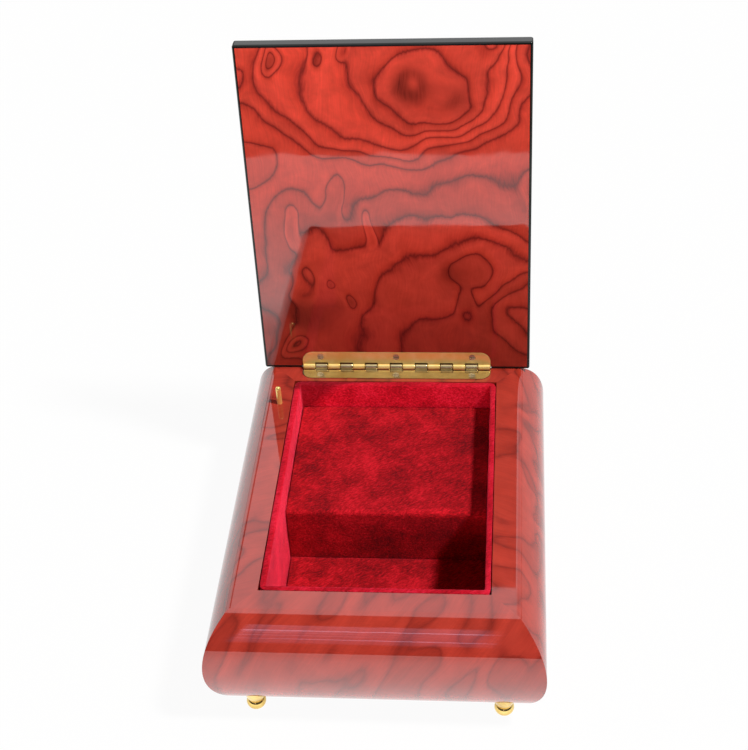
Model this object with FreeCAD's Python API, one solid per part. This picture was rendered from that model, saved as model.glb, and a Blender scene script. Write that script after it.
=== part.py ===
import FreeCAD, Part
import math
import os

# A musical jewelry box: a bulging veneered body with a hinged lid, a velvet lined inside and a
# comb and cylinder movement under the deck. Sizes are in millimetres, +Z is up and -Y is the front.
# The origin is on the floor, under the middle of the box that holds the part with its lid open.

# Body
rim_width = 118.0
rim_depth = 157.0
rim_face = 11.0
side_height = 49.0
bulge = 11.6
bulge_drop = 27.0
rim_round = 3.0
base_round = 1.5
rabbet = 3.5
bottom_recess = 1.0
bottom_thickness = 4.0
board_clearance = 0.2

# Feet
foot_height = 13.0
foot_inset_x = 5.8
foot_inset_y = 2.0
foot_bead_radius = 4.2
foot_waist_radius = 3.4
foot_lip_radius = 5.2
foot_stud_radius = 1.2
foot_stud_length = 8.0
foot_lip_height = 1.0
foot_bead_share = 0.18
foot_waist_share = 0.38
foot_sole_share = 0.65
foot_flare_share = 0.62

# Lid
lid_side_overhang = 4.5
lid_front_overhang = 8.7
lid_rear_overhang = 0.8
lid_thickness = 6.0
lid_gap = 0.8
lid_open = 94.0
lid_round = 1.0
veneer_thickness = 0.6
veneer_inset = 1.2

# Hinge
hinge_inset = 0.7
hinge_rise = 0.9
hinge_length = 90.0
knuckle_count = 15
knuckle_radius = 1.5
knuckle_round = 0.4
knuckle_play = 0.2
knuckle_room = 0.3
hinge_pin_radius = 0.7
hinge_pin_clearance = 0.05
leaf_width = 8.2
leaf_thickness = 0.8
leaf_proud = 0.3
leaf_corner = 5.0
leaf_notch = 0.8
mortise_play = 0.1
leaf_screw_inset = 8.7
leaf_screw_reach = 5.6

# Screws
screw_play = 0.05
slot_width = 0.5
slot_depth = 0.4
hinge_screw_head = 1.6
hinge_screw_shank = 0.75
lid_screw_length = 4.8
rim_screw_length = 8.0
bottom_screw_head = 2.0
bottom_screw_shank = 1.0
bottom_screw_length = 10.0
bottom_screw_pitch = 92.0
machine_head_radius = 1.8
machine_head_height = 1.2
machine_shank_radius = 1.0
comb_screw_grip = 5.0
bridge_screw_grip = 4.0
screw_tip_room = 0.2

# Velvet lining
liner_thickness = 3.0
liner_clearance = 0.3
liner_proud = 0.5
deck_drop = 13.0
deck_thickness = 3.0
deck_depth = 72.2
riser_thickness = 3.0
floor_thickness = 3.0

# Stop pin, lever and return spring
pin_inset_x = 5.7
pin_inset_y = 27.3
pin_radius = 1.25
pin_clearance = 0.08
pin_height = 9.8
pin_closed_height = 0.6
lever_outer_arm = 13.3
lever_half_height = 0.8
lever_thickness = 1.6
lever_boss_radius = 2.0
lever_pivot_radius = 1.0
lever_gap = 0.3
lever_height = 15.7
ear_thickness = 1.8
ear_half_width = 3.0
pocket_half_width = 2.5
pocket_reach = 8.3
pocket_below = 7.7
pocket_above = 8.3
spring_radius = 1.5
spring_wire_radius = 0.18
spring_turns = 5

# Movement
bedplate_thickness = 2.0
bedplate_margin = 1.5
bedplate_front_gap = 2.0
barrel_x = 20.0
barrel_lift = 0.5
barrel_height = 9.5
barrel_radius = 10.0
barrel_wall = 0.8
barrel_disc = 1.5
arbor_radius = 2.0
running_clearance = 0.05
crown_module = 0.5
crown_teeth = 42
crown_face = 1.5
pinion_teeth = 14
train_module = 0.4
wheel_teeth = 40
governor_pinion_teeth = 8
worm_wheel_teeth = 24
governor_angle = -20.0
tooth_addendum = 1.0
tooth_dedendum = 1.4
root_share = 0.23
tip_share = 0.10
spindle_radius = 1.0
thin_spindle_radius = 0.6
pivot_floor = 0.5
wheel_width = 1.4
post_thickness = 1.6
post_width = 2.4
side_gap = 0.6
drum_radius = 6.3
drum_wall = 0.9
drum_length = 28.0
note_pin_radius = 0.15
note_pin_height = 0.6
note_pins_per_track = 4
note_turn = 137.5
comb_teeth = 18
comb_tooth_spacing = 1.5
comb_slot = 0.35
comb_thickness = 1.0
comb_tooth_share = 0.55
comb_gap = 0.2
comb_screw_share = 0.6
worm_radius = 1.2
worm_core_radius = 0.75
worm_turns = 5
worm_sink = 0.1
fan_radius = 4.5
fan_height = 5.0
fan_thickness = 0.5
fan_lift = 0.9
bracket_thickness = 1.2
bracket_half_width = 4.0
bracket_reach = 8.5
bracket_screw_share = 0.5
bridge_thickness = 1.2
bridge_half_width = 4.0
bridge_gap = 0.5
bridge_post_radius = 2.2
ratchet_radius = 5.0
ratchet_teeth = 16
ratchet_depth = 0.9
ratchet_thickness = 1.0
ratchet_lift = 0.2
ratchet_back_share = 0.05
click_length = 4.0
click_half_width = 0.8
mainspring_turns = 6
mainspring_strip = 0.35
mainspring_height = 5.5
mainspring_inner = 3.4

# Winding key
key_clearance = 0.6
key_hub_radius = 2.8
key_hub_height = 5.4
key_wing_width = 18.0
key_wing_height = 7.0
key_wing_thickness = 1.8
key_floor_gap = 2.0
key_hole_radius = 4.0
key_bore_share = 0.75

V = FreeCAD.Vector
X = V(1, 0, 0)
Y = V(0, 1, 0)
Z = V(0, 0, 1)
ORIGIN = V(0, 0, 0)

# Levels and places that follow from the sizes above
base_z = foot_height
rim_z = base_z + side_height
bottom_z = base_z + bottom_recess
inside_z = bottom_z + bottom_thickness
deck_z = rim_z - deck_drop
half_width = rim_width / 2
half_depth = rim_depth / 2
lid_length = rim_depth + lid_front_overhang - hinge_inset
open_sine = math.sin(math.radians(lid_open))
open_cosine = math.cos(math.radians(lid_open))
lid_top = lid_gap - hinge_rise + lid_thickness
lid_reach = (lid_top - lid_round) * open_sine - (lid_length - lid_round) * open_cosine + lid_round
rear_reach = max(half_depth - hinge_inset + lid_reach, half_depth + bulge)
box_y = (half_depth + bulge - rear_reach) / 2
hinge_y = box_y + half_depth - hinge_inset
hinge_z = rim_z + hinge_rise
opening_x = half_width - rim_face
opening_y = half_depth - rim_face
inner_x = opening_x - liner_clearance - liner_thickness
inner_y = opening_y - liner_clearance - liner_thickness
riser_y = box_y + inner_y - deck_depth


def block(x0, x1, y0, y1, z0, z1):
    return Part.makeBox(x1 - x0, y1 - y0, z1 - z0, V(x0, y0, z0))


def rod(radius, start, end):
    return Part.makeCylinder(radius, (end - start).Length, start, end - start)


def prism(points, along):
    return Part.Face(Part.makePolygon(points + [points[0]])).extrude(along)


def line(start, end):
    return Part.makeLine(start, end)


def arc(start, middle, end):
    return Part.Arc(start, middle, end).toShape()


def turned(edges):
    return Part.Face(Part.Wire(edges)).revolve(ORIGIN, Z, 360)


def placed(shape, position, direction=Z):
    shape.Placement = FreeCAD.Placement(position, FreeCAD.Rotation(Z, direction)).multiply(shape.Placement)
    return shape


def opened(shape):
    shape.rotate(V(0, hinge_y, hinge_z), X, -lid_open)
    return shape


def screw_blank(head, shank, length, play):
    depth = head - shank
    cone = Part.makeCone(shank + play, head + play, depth, V(0, 0, -depth))
    return cone.fuse(rod(shank + play, V(0, 0, -length - play), V(0, 0, -depth)))


def wood_screw(head, shank, length):
    slot = block(-head, head, -slot_width / 2, slot_width / 2, -slot_depth, slot_depth)
    return screw_blank(head, shank, length, 0).cut(slot)


def machine_screw(length):
    head = rod(machine_head_radius, ORIGIN, Z * machine_head_height)
    low = machine_head_height - slot_depth
    half = machine_head_radius
    slot = block(-half, half, -slot_width / 2, slot_width / 2, low, machine_head_height)
    return head.fuse(rod(machine_shank_radius, V(0, 0, -length), ORIGIN)).cut(slot)


# The four sides are one moulding with a round belly, mitred at the corners. A rabbet inside the
# lower edge takes the bottom board.
def moulding(half_span, half_length, turn):
    radius = (bulge_drop ** 2 + bulge ** 2) / (2 * bulge)
    centre_y = half_span + bulge - radius
    centre_z = rim_z - bulge_drop
    top_rise = bulge_drop - rim_round
    top_y = centre_y + math.sqrt((radius - rim_round) ** 2 - top_rise ** 2)
    low_rise = base_z + base_round - centre_z
    low_y = centre_y + math.sqrt((radius - base_round) ** 2 - low_rise ** 2)

    def on_belly(y, z):
        away = V(0, y - centre_y, z - centre_z)
        return V(0, centre_y, centre_z) + away * (radius / away.Length)

    def round_middle(y, z, size, first, last):
        towards = (first + last) * 0.5 - V(0, y, z)
        return V(0, y, z) + towards * (size / towards.Length)

    top_flat = V(0, top_y, rim_z)
    top_belly = on_belly(top_y, rim_z - rim_round)
    low_belly = on_belly(low_y, base_z + base_round)
    low_flat = V(0, low_y, base_z)
    inner_face = half_span - rim_face
    rabbet_z = base_z + bottom_recess + bottom_thickness
    outline = [
        line(V(0, inner_face, rim_z), top_flat),
        arc(top_flat, round_middle(top_y, rim_z - rim_round, rim_round, top_flat, top_belly), top_belly),
        arc(top_belly, V(0, half_span + bulge, centre_z), low_belly),
        arc(low_belly, round_middle(low_y, base_z + base_round, base_round, low_belly, low_flat), low_flat),
        line(low_flat, V(0, inner_face + rabbet, base_z)),
        line(V(0, inner_face + rabbet, base_z), V(0, inner_face + rabbet, rabbet_z)),
        line(V(0, inner_face + rabbet, rabbet_z), V(0, inner_face, rabbet_z)),
        line(V(0, inner_face, rabbet_z), V(0, inner_face, rim_z)),
    ]
    reach = half_length + 2 * bulge
    bar = Part.Face(Part.Wire(outline)).extrude(X * (2 * reach))
    bar.translate(X * -reach)
    out = 2 * bulge
    back = 2 * rim_face
    mitre = [
        V(-half_length - out, half_span + out, 0),
        V(half_length + out, half_span + out, 0),
        V(half_length - back, half_span - back, 0),
        V(back - half_length, half_span - back, 0),
    ]
    side = bar.common(prism(mitre, Z * (2 * rim_z)))
    side.rotate(ORIGIN, Z, turn)
    side.translate(Y * box_y)
    return side


# Turned brass foot: a bead, a waist and a flared lip, with a screw stud into the corner of the body.
def foot(x, y):
    bead_z = foot_height * foot_bead_share
    waist_z = foot_height * foot_waist_share
    lip_z = foot_height - foot_lip_height
    sole = foot_bead_radius * foot_sole_share
    flare_radius = foot_waist_radius + foot_flare_share * (foot_lip_radius - foot_waist_radius)
    flare = V(flare_radius, 0, (waist_z + lip_z) / 2)
    stud_z = foot_height + foot_stud_length
    solid = turned([
        line(ORIGIN, V(sole, 0, 0)),
        arc(V(sole, 0, 0), V(foot_bead_radius, 0, bead_z), V(foot_waist_radius, 0, waist_z)),
        arc(V(foot_waist_radius, 0, waist_z), flare, V(foot_lip_radius, 0, lip_z)),
        line(V(foot_lip_radius, 0, lip_z), V(foot_lip_radius, 0, foot_height)),
        line(V(foot_lip_radius, 0, foot_height), V(foot_stud_radius, 0, foot_height)),
        line(V(foot_stud_radius, 0, foot_height), V(foot_stud_radius, 0, stud_z)),
        line(V(foot_stud_radius, 0, stud_z), V(0, 0, stud_z)),
        line(V(0, 0, stud_z), ORIGIN),
    ])
    return placed(solid, V(x, y, 0))


# Piano hinge: one leaf lies in the rim and one in the lid, with interleaved knuckles on one pin.
def leaf_plate(low, high, grow):
    edge = hinge_y - leaf_width - grow
    half = hinge_length / 2 + grow
    slant = leaf_corner * (1 - math.sqrt(0.5))
    side = edge + leaf_corner
    straight = half - leaf_corner
    outline = [
        line(V(-half, hinge_y, low), V(-half, side, low)),
        arc(V(-half, side, low), V(-half + slant, edge + slant, low), V(-straight, edge, low)),
        line(V(-straight, edge, low), V(straight, edge, low)),
        arc(V(straight, edge, low), V(half - slant, edge + slant, low), V(half, side, low)),
        line(V(half, side, low), V(half, hinge_y, low)),
        line(V(half, hinge_y, low), V(-half, hinge_y, low)),
    ]
    return Part.Face(Part.Wire(outline)).extrude(Z * (high - low))


def knuckle_span(index):
    pitch = hinge_length / knuckle_count
    start = -hinge_length / 2 + index * pitch
    return start, start + pitch


def hinge_leaf(low, first, bore):
    high = low + leaf_thickness
    leaf = leaf_plate(low, high, 0)
    inset = knuckle_play / 2
    notch_y = hinge_y - knuckle_radius - leaf_notch
    for index in range(1 - first, knuckle_count, 2):
        start, end = knuckle_span(index)
        notch = block(start - inset, end + inset, notch_y, hinge_y + 1, low - 1, high + 1)
        leaf = leaf.cut(notch)
    knuckles = []
    for index in range(first, knuckle_count, 2):
        start, end = knuckle_span(index)
        left = V(start + inset, hinge_y, hinge_z)
        right = V(end - inset, hinge_y, hinge_z)
        knuckle = rod(knuckle_radius, left, right)
        ends = [edge for edge in knuckle.Edges if isinstance(edge.Curve, Part.Circle)]
        knuckles.append(knuckle.makeFillet(knuckle_round, ends))
    leaf = leaf.multiFuse(knuckles)
    half = hinge_length / 2 + 1
    return leaf.cut(rod(bore, V(-half, hinge_y, hinge_z), V(half, hinge_y, hinge_z))).removeSplitter()


def hinge_screw_places(z):
    span = hinge_length / 2 - leaf_screw_inset
    return [V(step * span, hinge_y - leaf_screw_reach, z) for step in (-1, 0, 1)]


def knuckle_groove():
    half = hinge_length / 2 + knuckle_room
    return rod(knuckle_radius + knuckle_room, V(-half, hinge_y, hinge_z), V(half, hinge_y, hinge_z))


rim_leaf_z = rim_z + leaf_proud - leaf_thickness
rim_leaf_face = rim_z + leaf_proud
lid_z = rim_z + lid_gap
lid_leaf_z = lid_z - leaf_proud
lid_leaf_top = lid_leaf_z + leaf_thickness

rim_screws = []
rim_screw_rooms = []
for place in hinge_screw_places(rim_leaf_face):
    rim_screws.append(placed(wood_screw(hinge_screw_head, hinge_screw_shank, rim_screw_length), place))
    room = screw_blank(hinge_screw_head, hinge_screw_shank, rim_screw_length, screw_play)
    rim_screw_rooms.append(placed(room, place))

lid_screws = []
lid_screw_rooms = []
for place in hinge_screw_places(lid_leaf_z):
    screw = wood_screw(hinge_screw_head, hinge_screw_shank, lid_screw_length)
    lid_screws.append(placed(screw, place, -Z))
    room = screw_blank(hinge_screw_head, hinge_screw_shank, lid_screw_length, screw_play)
    lid_screw_rooms.append(placed(room, place, -Z))

hinge_rim_leaf = hinge_leaf(rim_leaf_z, 1, hinge_pin_radius).cut(rim_screw_rooms)
hinge_lid_leaf = hinge_leaf(lid_leaf_z, 0, hinge_pin_radius + hinge_pin_clearance).cut(lid_screw_rooms)
hinge_end = hinge_length / 2
hinge_pin = rod(hinge_pin_radius, V(-hinge_end, hinge_y, hinge_z), V(hinge_end, hinge_y, hinge_z))

# Lid: a black lacquered board with a sheet of veneer let into each face.
lid_left = -half_width - lid_side_overhang
lid_right = half_width + lid_side_overhang
lid_front = hinge_y - lid_length
lid_rear = hinge_y + lid_rear_overhang
lid_face_z = lid_z + lid_thickness


def veneer(low):
    inset = veneer_inset
    return block(
        lid_left + inset, lid_right - inset, lid_front + inset, lid_rear - inset, low, low + veneer_thickness
    )


lid_board = block(lid_left, lid_right, lid_front, lid_rear, lid_z, lid_face_z)
lid_board = lid_board.makeFillet(lid_round, lid_board.Edges)
lid_cuts = [knuckle_groove(), leaf_plate(lid_z - 1, lid_leaf_top, mortise_play)] + lid_screw_rooms
lid_inner_veneer = veneer(lid_z).cut(lid_cuts)
lid_outer_veneer = veneer(lid_face_z - veneer_thickness)
lid_core = lid_board.cut([veneer(lid_z), veneer(lid_face_z - veneer_thickness)] + lid_cuts)

# Stop pin and its lever. The lid presses the pin down, and the pin tips the lever beside the fan.
pin_x = -half_width + pin_inset_x
pin_y = box_y + half_depth - pin_inset_y
pin_travel = pin_height - pin_closed_height
movement_z = inside_z + bedplate_thickness
lever_z = movement_z + lever_height
lever_x = pin_x + lever_outer_arm
lever_swing = math.degrees(math.asin(pin_travel / 2 / lever_outer_arm))
lever_end_z = lever_z + pin_travel / 2
pin_foot_z = lever_end_z + lever_half_height + lever_gap
pocket_low = lever_z - pocket_below
pocket_high = lever_z + pocket_above


def stop_pin_solid():
    top = rim_z + pin_height
    straight = top - pin_radius
    diagonal = pin_radius * math.sqrt(0.5)
    solid = turned([
        line(V(0, 0, pin_foot_z), V(pin_radius, 0, pin_foot_z)),
        line(V(pin_radius, 0, pin_foot_z), V(pin_radius, 0, straight)),
        arc(V(pin_radius, 0, straight), V(diagonal, 0, straight + diagonal), V(0, 0, top)),
        line(V(0, 0, top), V(0, 0, pin_foot_z)),
    ])
    return placed(solid, V(pin_x, pin_y, 0))


def stop_lever_solid():
    half = lever_half_height
    near = V(lever_inner_arm, 0, 0)
    far = V(-lever_outer_arm, 0, 0)
    back = Y * lever_thickness
    solid = block(-lever_outer_arm, lever_inner_arm, 0, lever_thickness, -half, half)
    boss = rod(lever_boss_radius, ORIGIN, back)
    solid = solid.fuse([rod(half, near, near + back), rod(half, far, far + back), boss])
    solid = solid.cut(rod(lever_pivot_radius + running_clearance, -back, back * 2)).removeSplitter()
    solid.rotate(ORIGIN, Y, lever_swing)
    solid.translate(V(lever_x, pin_y - lever_thickness / 2, lever_z))
    return solid


# Compression spring under the lever's outer end, swept along a quarter turn at a time.
spring_low = pocket_low + spring_wire_radius
spring_high = lever_end_z - lever_half_height - lever_gap - spring_wire_radius


def spring_point(turn):
    angle = 2 * math.pi * turn
    height = spring_low + (spring_high - spring_low) * turn / spring_turns
    return V(pin_x + spring_radius * math.cos(angle), pin_y + spring_radius * math.sin(angle), height)


def return_spring_solid():
    edges = []
    for quarter in range(4 * spring_turns):
        start = quarter / 4
        edges.append(arc(spring_point(start), spring_point(start + 0.125), spring_point(start + 0.25)))
    heading = edges[0].tangentAt(edges[0].FirstParameter)
    section = Part.Wire(Part.Circle(spring_point(0), heading, spring_wire_radius).toShape())
    return Part.Wire(edges).makePipeShell([section], True, False)


spring_gap = (spring_high - spring_low) / spring_turns - 2 * spring_wire_radius
print("return spring: least gap between turns %.2f mm" % spring_gap)

# Movement places: the cylinder lies along X, the barrel stands upright at its right end and the
# governor stands at its left end, beside the stop lever.
crown_radius = crown_module * crown_teeth / 2
crown_rim = crown_radius + crown_face / 2
pinion_radius = crown_module * pinion_teeth / 2
wheel_radius = train_module * wheel_teeth / 2
governor_pinion_radius = train_module * governor_pinion_teeth / 2
worm_wheel_radius = train_module * worm_wheel_teeth / 2
governor_distance = wheel_radius + governor_pinion_radius
governor_offset_y = governor_distance * math.cos(math.radians(governor_angle))
governor_offset_z = governor_distance * math.sin(math.radians(governor_angle))
fan_y = pin_y - lever_thickness / 2 - lever_gap - fan_radius
governor_y = fan_y - worm_wheel_radius - worm_radius
cylinder_y = governor_y - governor_offset_y
disc_top = movement_z + barrel_lift + barrel_height
crown_plane = disc_top + crown_module * tooth_dedendum
crown_top = crown_plane + crown_module * tooth_addendum
cylinder_z = crown_plane + pinion_radius
governor_z = cylinder_z + governor_offset_z
mesh_x = barrel_x - crown_radius
post_a_x = mesh_x - crown_face / 2 - side_gap - post_thickness
drum_right = post_a_x - side_gap
drum_left = drum_right - drum_length
wheel_right = drum_left - side_gap
wheel_left = wheel_right - wheel_width
post_b_x = wheel_left - side_gap - post_thickness
worm_wheel_x = post_b_x - wheel_width / 2
fan_x = worm_wheel_x + wheel_width / 2
lever_inner_arm = fan_x - lever_x
post_c_x = wheel_right + side_gap
post_d_x = worm_wheel_x - side_gap - post_thickness - worm_radius
fan_low = governor_z + worm_wheel_radius + train_module * tooth_addendum + fan_lift
fan_high = fan_low + fan_height
bracket_z = fan_high + fan_lift
bracket_y = fan_y + bracket_reach
comb_tip_y = cylinder_y - drum_radius - note_pin_height - comb_gap
bedplate_front = riser_y + riser_thickness + bedplate_front_gap
comb_back_y = bedplate_front + bedplate_margin
comb_root_y = comb_tip_y - comb_tooth_share * (comb_tip_y - comb_back_y)
comb_z = cylinder_z - comb_thickness / 2
comb_middle_x = (drum_left + drum_right) / 2
comb_half = comb_teeth * comb_tooth_spacing / 2
comb_left = comb_middle_x - comb_half
comb_right = comb_middle_x + comb_half
comb_top = comb_z + comb_thickness
bridge_z = crown_top + bridge_gap
bridge_post_y = crown_rim + bridge_gap + bridge_post_radius
ratchet_z = bridge_z + bridge_thickness + ratchet_lift
bedplate_left = lever_x - ear_half_width
bedplate_right = barrel_x + crown_rim + bedplate_margin
bedplate_back = bracket_y + bracket_thickness + 2 * machine_head_radius + bedplate_margin


# A toothed disc with straight flanks, its first tooth on +X and its thickness along +Z.
def gear(teeth, module, width, bore):
    pitch_radius = module * teeth / 2
    root = pitch_radius - module * tooth_dedendum
    tip = pitch_radius + module * tooth_addendum
    step = 2 * math.pi / teeth
    points = []
    for tooth in range(teeth):
        for share, radius in ((-root_share, root), (-tip_share, tip), (tip_share, tip), (root_share, root)):
            angle = (tooth + share) * step
            points.append(V(radius * math.cos(angle), radius * math.sin(angle), 0))
    return prism(points, Z * width).cut(rod(bore, -Z, Z * (width + 1)))


# Lays a wheel on an axis along +X. At zero turn its first tooth points down.
def along_x(shape, turn, x, y, z):
    shape.rotate(ORIGIN, Z, turn)
    shape.rotate(ORIGIN, Y, 90)
    shape.translate(V(x, y, z))
    return shape


def spring_barrel_solid():
    low = movement_z + barrel_lift
    disc_z = disc_top - barrel_disc
    cup = rod(barrel_radius, V(0, 0, low), V(0, 0, disc_z))
    cup = cup.cut(rod(barrel_radius - barrel_wall, V(0, 0, low - 1), V(0, 0, disc_z)))
    body = cup.fuse(rod(crown_rim, V(0, 0, disc_z), V(0, 0, disc_top)))
    step = 2 * math.pi * crown_radius / crown_teeth
    root = root_share * step
    tip = tip_share * step
    inner = -crown_rim
    foot_corners = [V(inner, -root, disc_top), V(inner, root, disc_top)]
    tip_corners = [V(inner, tip, crown_top), V(inner, -tip, crown_top)]
    section = foot_corners + tip_corners
    teeth = []
    for tooth in range(crown_teeth):
        shape = prism(section, X * crown_face)
        shape.rotate(ORIGIN, Z, (tooth + 0.5) * 360 / crown_teeth)
        teeth.append(shape)
    body = body.multiFuse(teeth)
    body = body.cut(rod(arbor_radius + running_clearance, V(0, 0, low - 1), V(0, 0, crown_top + 1)))
    body.translate(V(barrel_x, cylinder_y, 0))
    return body


# Flat spiral spring: half turns about two centres, each wider than the one before.
def mainspring_solid():
    outer = barrel_radius - barrel_wall - mainspring_strip
    pitch = (outer - mainspring_inner) / mainspring_turns
    half = mainspring_strip / 2
    inner_edges = []
    outer_edges = []
    for turn in range(2 * mainspring_turns):
        radius = mainspring_inner + pitch * turn / 2
        side = 1 if turn % 2 == 0 else -1
        middle = V(0 if side > 0 else pitch / 2, 0, 0)
        for edges, size in ((inner_edges, radius - half), (outer_edges, radius + half)):
            reach = side * size
            edges.append(arc(middle + X * reach, middle + Y * reach, middle - X * reach))
    ends = [
        line(inner_edges[0].Vertexes[0].Point, outer_edges[0].Vertexes[0].Point),
        line(inner_edges[-1].Vertexes[-1].Point, outer_edges[-1].Vertexes[-1].Point),
    ]
    edges = Part.sortEdges(inner_edges + outer_edges + ends)[0]
    strip = Part.Face(Part.Wire(edges)).extrude(Z * mainspring_height)
    low = disc_top - barrel_disc - mainspring_height - running_clearance
    strip.translate(V(barrel_x, cylinder_y, low))
    print("mainspring: least gap between turns %.2f mm" % (pitch - mainspring_strip))
    return strip


def drum_solid():
    drum = rod(drum_radius, V(drum_left, cylinder_y, cylinder_z), V(drum_right, cylinder_y, cylinder_z))
    left = V(drum_left + drum_wall, cylinder_y, cylinder_z)
    right = V(drum_right - drum_wall, cylinder_y, cylinder_z)
    drum = drum.cut(rod(drum_radius - drum_wall, left, right))
    ends = V(drum_left - 1, cylinder_y, cylinder_z), V(drum_right + 1, cylinder_y, cylinder_z)
    return drum.cut(rod(spindle_radius, *ends))


def note_pins():
    pins = []
    for track in range(comb_teeth):
        x = comb_left + (track + 0.5) * comb_tooth_spacing
        for note in range(note_pins_per_track):
            angle = math.radians(note_turn * (track * note_pins_per_track + note))
            out = V(0, math.cos(angle), math.sin(angle))
            middle = V(x, cylinder_y, cylinder_z)
            foot_point = middle + out * drum_radius
            pins.append(rod(note_pin_radius, foot_point, foot_point + out * note_pin_height))
    return Part.makeCompound(pins)


def comb_solid():
    comb = block(comb_left, comb_right, comb_back_y, comb_tip_y, comb_z, comb_top)
    slots = []
    for gap in range(1, comb_teeth):
        x = comb_left + gap * comb_tooth_spacing
        left = x - comb_slot / 2
        slots.append(block(left, left + comb_slot, comb_root_y, comb_tip_y + 1, comb_z - 1, comb_top + 1))
    return comb.cut(slots + [machine_room(place) for place in comb_screw_places()])


def machine_screws(length, places):
    return Part.makeCompound([placed(machine_screw(length), place) for place in places])


def comb_screw_places():
    y = (comb_root_y + comb_back_y) / 2
    spread = comb_half * comb_screw_share
    return [V(comb_middle_x + side * spread, y, comb_top) for side in (-1, 1)]


def machine_room(place):
    reach = Z * (bedplate_thickness + inside_z)
    return rod(machine_shank_radius + screw_play, place - reach, place + Z)


def blind_room(place, depth):
    return rod(machine_shank_radius + screw_play, place - Z * (depth + screw_play), place + Z)


comb_screw_length = comb_thickness + comb_screw_grip
bridge_screw_length = bridge_thickness + bridge_screw_grip
bracket_screw_length = bracket_thickness + bedplate_thickness - screw_tip_room
bridge_top = bridge_z + bridge_thickness
bridge_screw_places = [V(barrel_x, cylinder_y + side * bridge_post_y, bridge_top) for side in (-1, 1)]
bracket_screw_y = bracket_y + bracket_thickness + machine_head_radius + screw_play
bracket_screw_z = movement_z + bracket_thickness
bracket_screw_spread = bracket_half_width * bracket_screw_share
bracket_screw_places = []
for side in (-1, 1):
    bracket_screw_places.append(V(fan_x + side * bracket_screw_spread, bracket_screw_y, bracket_screw_z))
movement_screw_places = [
    V(bedplate_right - 2 * bedplate_margin, bedplate_back - 2 * bedplate_margin, bottom_z),
    V(bedplate_right - 2 * bedplate_margin, bedplate_front + 2 * bedplate_margin, bottom_z),
    V(bedplate_left + 2 * bedplate_margin, bedplate_front + 2 * bedplate_margin, bottom_z),
]
movement_screw_length = bottom_thickness + bedplate_thickness - screw_tip_room


def bearing_post(x, y, z, radius):
    post = block(x, x + post_thickness, y - post_width / 2, y + post_width / 2, movement_z, z)
    post = post.fuse(rod(post_width / 2, V(x, y, z), V(x + post_thickness, y, z)))
    return post.cut(rod(radius + running_clearance, V(x - 1, y, z), V(x + post_thickness + 1, y, z)))


def bedplate_solid():
    plate = block(bedplate_left, bedplate_right, bedplate_front, bedplate_back, inside_z, movement_z)
    comb_block = block(comb_left, comb_right, comb_back_y, comb_root_y, movement_z, comb_z)
    ear_y = pin_y - lever_thickness / 2 - lever_gap
    ear_top = lever_z + ear_half_width
    ear_left = lever_x - ear_half_width
    ear_right = lever_x + ear_half_width
    ear = block(ear_left, ear_right, ear_y - ear_thickness, ear_y, movement_z, ear_top)
    shapes = [comb_block, ear]
    shapes.append(bearing_post(post_a_x, cylinder_y, cylinder_z, spindle_radius))
    shapes.append(bearing_post(post_b_x, cylinder_y, cylinder_z, spindle_radius))
    shapes.append(bearing_post(post_c_x, governor_y, governor_z, thin_spindle_radius))
    shapes.append(bearing_post(post_d_x, governor_y, governor_z, thin_spindle_radius))
    for place in bridge_screw_places:
        shapes.append(rod(bridge_post_radius, V(place.x, place.y, movement_z), V(place.x, place.y, bridge_z)))
    plate = plate.multiFuse(shapes)
    rooms = [blind_room(place, comb_screw_length) for place in comb_screw_places()]
    rooms += [blind_room(place, bridge_screw_length) for place in bridge_screw_places]
    rooms += [blind_room(place, bracket_screw_length) for place in bracket_screw_places]
    for place in movement_screw_places:
        tip = place + Z * (movement_screw_length + screw_play)
        rooms.append(rod(machine_shank_radius + screw_play, place - Z, tip))
    above = movement_z + 1
    shaft = V(barrel_x, cylinder_y, 0)
    rooms.append(rod(arbor_radius + running_clearance, shaft, shaft + Z * above))
    pivot = V(fan_x, fan_y, inside_z + pivot_floor)
    rooms.append(rod(thin_spindle_radius + running_clearance, pivot, V(fan_x, fan_y, above)))
    ear_back = ear_y - ear_thickness - 1
    rooms.append(rod(lever_pivot_radius, V(lever_x, ear_back, lever_z), V(lever_x, ear_y + 1, lever_z)))
    return plate.cut(rooms).removeSplitter()


def lever_screw_solid():
    start = pin_y - lever_thickness / 2 - lever_gap - ear_thickness
    head = pin_y + lever_thickness / 2 + lever_gap
    stem = rod(lever_pivot_radius, V(lever_x, start, lever_z), V(lever_x, head, lever_z))
    cap = rod(machine_head_radius, V(lever_x, head, lever_z), V(lever_x, head + machine_head_height, lever_z))
    slot_y = head + machine_head_height - slot_depth
    slot = block(lever_x - machine_head_radius, lever_x + machine_head_radius, slot_y, slot_y + 1,
                 lever_z - slot_width / 2, lever_z + slot_width / 2)
    return stem.fuse(cap).cut(slot)


def bracket_solid():
    left = fan_x - bracket_half_width
    right = fan_x + bracket_half_width
    arm_y = fan_y - bracket_half_width / 2
    top = bracket_z + bracket_thickness
    upright = block(left, right, bracket_y, bracket_y + bracket_thickness, movement_z, top)
    arm = block(left, right, arm_y, bracket_y, bracket_z, top)
    toe = block(left, right, bracket_y, bedplate_back, movement_z, movement_z + bracket_thickness)
    rooms = [machine_room(place) for place in bracket_screw_places]
    below = V(fan_x, fan_y, bracket_z - 1)
    pivot = rod(thin_spindle_radius + running_clearance, below, V(fan_x, fan_y, top + 1))
    return upright.fuse([arm, toe]).cut(rooms + [pivot]).removeSplitter()


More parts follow.
